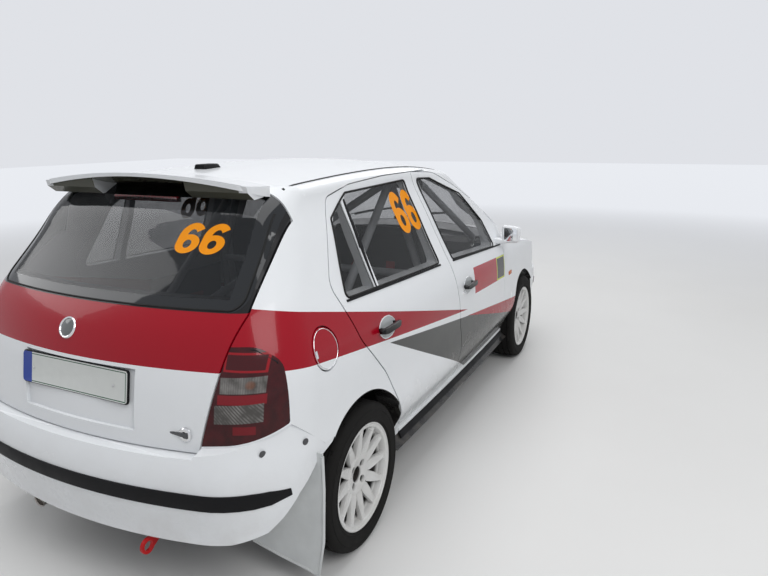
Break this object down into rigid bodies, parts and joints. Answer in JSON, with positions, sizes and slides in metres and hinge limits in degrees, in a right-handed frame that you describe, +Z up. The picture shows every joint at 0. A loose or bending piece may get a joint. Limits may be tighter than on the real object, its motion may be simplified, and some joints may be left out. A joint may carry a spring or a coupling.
{
  "type": "rally car",
  "caption": "Five-door hatchback rally car with opening doors, bonnet, tailgate and fuel flap, steered front wheels, roll cage and bucket seats.",
  "frame": {"origin": "on the floor under the middle of the car's box", "axes": "+X towards the car's left side, +Y towards its tail, +Z up"},
  "size_m": [1.86, 3.9592, 1.4883],
  "materials": {
    "aluminium": "satin",
    "bare_steel": "satin",
    "cage_paint": "gloss",
    "cast_iron": "matte",
    "dark_plastic": "matte",
    "engine_grey": "matte",
    "flap_plastic": "satin",
    "glass": "gloss",
    "lamp_clear": "gloss",
    "lamp_red": "gloss",
    "paint": "gloss",
    "seat_fabric": "matte",
    "tow_red": "gloss",
    "tyre": "matte",
    "wheel_paint": "gloss"
  },
  "bodies": {
    "body": {"floor_pan": "paint", "side_frame_left": "paint", "side_frame_right": "paint", "roof": "paint", "bulkhead": "paint", "fenders": "paint", "wheel_housings": "dark_plastic", "front_bumper": "paint", "grille": "dark_plastic", "headlamps": "lamp_clear", "rear_bumper": "paint", "tail_lamps": "lamp_red", "windscreen": "glass", "engine": "engine_grey", "roll_cage": "cage_paint", "seats": "seat_fabric", "dashboard": "dark_plastic", "front_subframe": "cast_iron", "rear_axle": "cast_iron", "exhaust": "bare_steel", "mud_flaps": "flap_plastic", "sump_guard": "aluminium", "radiator": "aluminium", "towing_eyes": "tow_red"},
    "front_door_left": {"door_front_left": "paint", "glass_front_left": "glass", "mirror_left": "paint"},
    "rear_door_left": {"door_rear_left": "paint", "glass_rear_left": "glass"},
    "front_door_right": {"door_front_right": "paint", "glass_front_right": "glass", "mirror_right": "paint"},
    "rear_door_right": {"door_rear_right": "paint", "glass_rear_right": "glass"},
    "tailgate": {"tailgate": "paint", "rear_glass": "glass", "spoiler": "paint"},
    "bonnet": {"bonnet": "paint"},
    "fuel_flap": {"fuel_flap": "paint"},
    "steering_wheel": {"steering_wheel": "dark_plastic"},
    "knuckle_left": {"knuckle_left": "cast_iron"},
    "wheel_front_left": {"tyre_front_left": "tyre", "rim_front_left": "wheel_paint"},
    "wheel_rear_left": {"tyre_rear_left": "tyre", "rim_rear_left": "wheel_paint"},
    "knuckle_right": {"knuckle_right": "cast_iron"},
    "wheel_front_right": {"tyre_front_right": "tyre", "rim_front_right": "wheel_paint"},
    "wheel_rear_right": {"tyre_rear_right": "tyre", "rim_rear_right": "wheel_paint"}
  },
  "joints": [
    {"name": "front_door_right_swing", "type": "hinge", "parent": "body", "child": "front_door_right", "pos_m": [-0.829, -0.648, 0.6], "axis": [0, 0, 1], "range_deg": [0, 65]},
    {"name": "rear_door_right_swing", "type": "hinge", "parent": "body", "child": "rear_door_right", "pos_m": [-0.829, 0.222, 0.6], "axis": [0, 0, 1], "range_deg": [0, 65]},
    {"name": "front_door_left_swing", "type": "hinge", "parent": "body", "child": "front_door_left", "pos_m": [0.829, -0.648, 0.6], "axis": [0, 0, -1], "range_deg": [0, 65]},
    {"name": "rear_door_left_swing", "type": "hinge", "parent": "body", "child": "rear_door_left", "pos_m": [0.829, 0.222, 0.6], "axis": [0, 0, -1], "range_deg": [0, 65]},
    {"name": "tailgate_lift", "type": "hinge", "parent": "body", "child": "tailgate", "pos_m": [0, 1.393, 1.474], "axis": [1, 0, 0], "range_deg": [0, 78]},
    {"name": "bonnet_lift", "type": "hinge", "parent": "body", "child": "bonnet", "pos_m": [0, -0.868, 0.962], "axis": [-1, 0, 0], "range_deg": [0, 50]},
    {"name": "fuel_flap_swing", "type": "hinge", "parent": "body", "child": "fuel_flap", "pos_m": [-0.795, 1.416, 0.89], "axis": [0.2639, 0, 0.9646], "range_deg": [0, 85]},
    {"name": "steer_left", "type": "hinge", "parent": "body", "child": "knuckle_left", "pos_m": [0.69, -1.18, 0.297], "axis": [0, 0, 1], "range_deg": [-35, 35]},
    {"name": "steer_right", "type": "hinge", "parent": "body", "child": "knuckle_right", "pos_m": [-0.69, -1.18, 0.297], "axis": [0, 0, 1], "range_deg": [-35, 35]},
    {"name": "steering_wheel_turn", "type": "hinge", "parent": "body", "child": "steering_wheel", "pos_m": [0.36, -0.395, 0.8], "axis": [0, 0.9135, 0.4067], "range_deg": [-490, 490]},
    {"name": "front_wheel_right_roll", "type": "hinge", "parent": "knuckle_right", "child": "wheel_front_right", "pos_m": [-0.717, -1.18, 0.297], "axis": [1, 0, 0], "continuous": true},
    {"name": "rear_wheel_right_roll", "type": "hinge", "parent": "body", "child": "wheel_rear_right", "pos_m": [-0.717, 1.282, 0.297], "axis": [1, 0, 0], "continuous": true},
    {"name": "front_wheel_left_roll", "type": "hinge", "parent": "knuckle_left", "child": "wheel_front_left", "pos_m": [0.717, -1.18, 0.297], "axis": [1, 0, 0], "continuous": true},
    {"name": "rear_wheel_left_roll", "type": "hinge", "parent": "body", "child": "wheel_rear_left", "pos_m": [0.717, 1.282, 0.297], "axis": [1, 0, 0], "continuous": true}
  ],
  "couplings": [
    {"joint": "steer_right", "follows": "steer_left", "ratio": 1},
    {"joint": "steering_wheel_turn", "follows": "steer_left", "ratio": 14}
  ]
}
